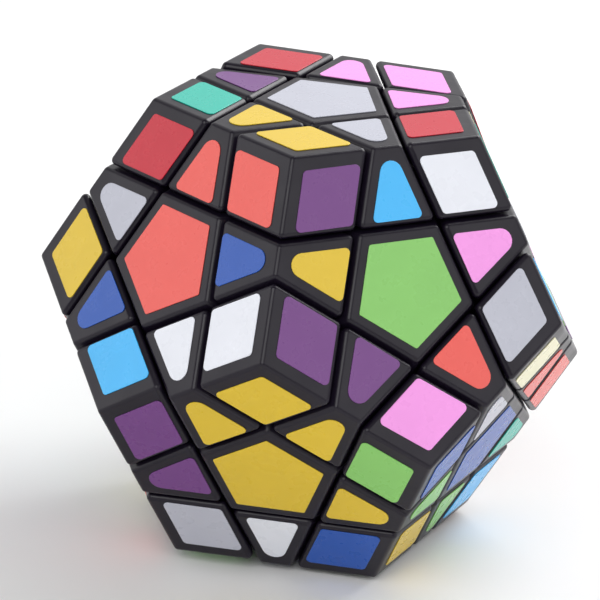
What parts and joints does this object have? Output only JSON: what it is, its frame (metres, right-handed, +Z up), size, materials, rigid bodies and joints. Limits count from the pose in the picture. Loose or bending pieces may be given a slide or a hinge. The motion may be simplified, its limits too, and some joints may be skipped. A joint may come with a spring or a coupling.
{
  "type": "dodecahedron twisty puzzle",
  "caption": "Scrambled dodecahedral twisty puzzle in black plastic with coloured stickers, whose faces turn about a sprung core.",
  "frame": {"origin": "on the ground, under the middle of the white face", "axes": "+Z up through the grey face, -Y towards the ridge between the orange and green faces, +X to the right"},
  "size_m": [0.0803, 0.0836, 0.0697],
  "materials": {
    "black_plastic": "satin",
    "core_plastic": "matte",
    "plated_steel": "satin",
    "spring_steel": "satin",
    "sticker_grey": "satin",
    "sticker_orange": "satin",
    "sticker_green": "satin",
    "sticker_yellow": "satin",
    "sticker_blue": "satin",
    "sticker_purple": "satin",
    "sticker_white": "satin",
    "sticker_pink": "satin",
    "sticker_cream": "satin",
    "sticker_sky": "satin",
    "sticker_red": "satin",
    "sticker_teal": "satin"
  },
  "bodies": {
    "main_block": {"core": "core_plastic", "corner_grey_green_pink": "black_plastic", "corner_grey_orange_green": "black_plastic", "corner_grey_orange_sky": "black_plastic", "corner_orange_green_yellow": "black_plastic", "corner_red_teal_white": "black_plastic", "edge_green_pink": "black_plastic", "edge_green_yellow": "black_plastic", "edge_grey_green": "black_plastic", "edge_grey_orange": "black_plastic", "edge_grey_pink": "black_plastic", "edge_grey_sky": "black_plastic", "edge_orange_green": "black_plastic", "edge_orange_sky": "black_plastic", "edge_orange_yellow": "black_plastic", "edge_pink_red": "black_plastic", "edge_red_teal": "black_plastic", "edge_red_white": "black_plastic", "edge_sky_teal": "black_plastic", "edge_teal_white": "black_plastic", "edge_yellow_white": "black_plastic", "fixed_centres": "black_plastic", "tension_screws": "plated_steel", "tension_springs": "spring_steel"},
    "purple_layer": {"centre_base_purple": "black_plastic", "centre_cap_purple": "black_plastic", "corner_orange_sky_purple": "black_plastic", "corner_orange_yellow_purple": "black_plastic", "corner_sky_teal_purple": "black_plastic", "corner_teal_purple_white": "black_plastic", "corner_yellow_purple_white": "black_plastic", "edge_orange_purple": "black_plastic", "edge_purple_white": "black_plastic", "edge_sky_purple": "black_plastic", "edge_teal_purple": "black_plastic", "edge_yellow_purple": "black_plastic"},
    "cream_layer": {"centre_base_cream": "black_plastic", "centre_cap_cream": "black_plastic", "corner_cream_red_teal": "black_plastic", "corner_cream_sky_teal": "black_plastic", "corner_grey_cream_sky": "black_plastic", "corner_grey_pink_cream": "black_plastic", "corner_pink_cream_red": "black_plastic", "edge_cream_red": "black_plastic", "edge_cream_sky": "black_plastic", "edge_cream_teal": "black_plastic", "edge_grey_cream": "black_plastic", "edge_pink_cream": "black_plastic"},
    "blue_layer": {"centre_base_blue": "black_plastic", "centre_cap_blue": "black_plastic", "corner_blue_red_white": "black_plastic", "corner_green_pink_blue": "black_plastic", "corner_green_yellow_blue": "black_plastic", "corner_pink_blue_red": "black_plastic", "corner_yellow_blue_white": "black_plastic", "edge_blue_red": "black_plastic", "edge_blue_white": "black_plastic", "edge_green_blue": "black_plastic", "edge_pink_blue": "black_plastic", "edge_yellow_blue": "black_plastic"}
  },
  "joints": [
    {"name": "purple_layer_turn", "type": "hinge", "parent": "main_block", "child": "purple_layer", "pos_m": [0, 0, 0.03503], "axis": [-0.8507, -0.2764, -0.4472], "continuous": true},
    {"name": "cream_layer_turn", "type": "hinge", "parent": "main_block", "child": "cream_layer", "pos_m": [0, 0, 0.03503], "axis": [0, 0.8944, 0.4472], "continuous": true},
    {"name": "blue_layer_turn", "type": "hinge", "parent": "main_block", "child": "blue_layer", "pos_m": [0, 0, 0.03503], "axis": [0.8507, -0.2764, -0.4472], "continuous": true}
  ]
}
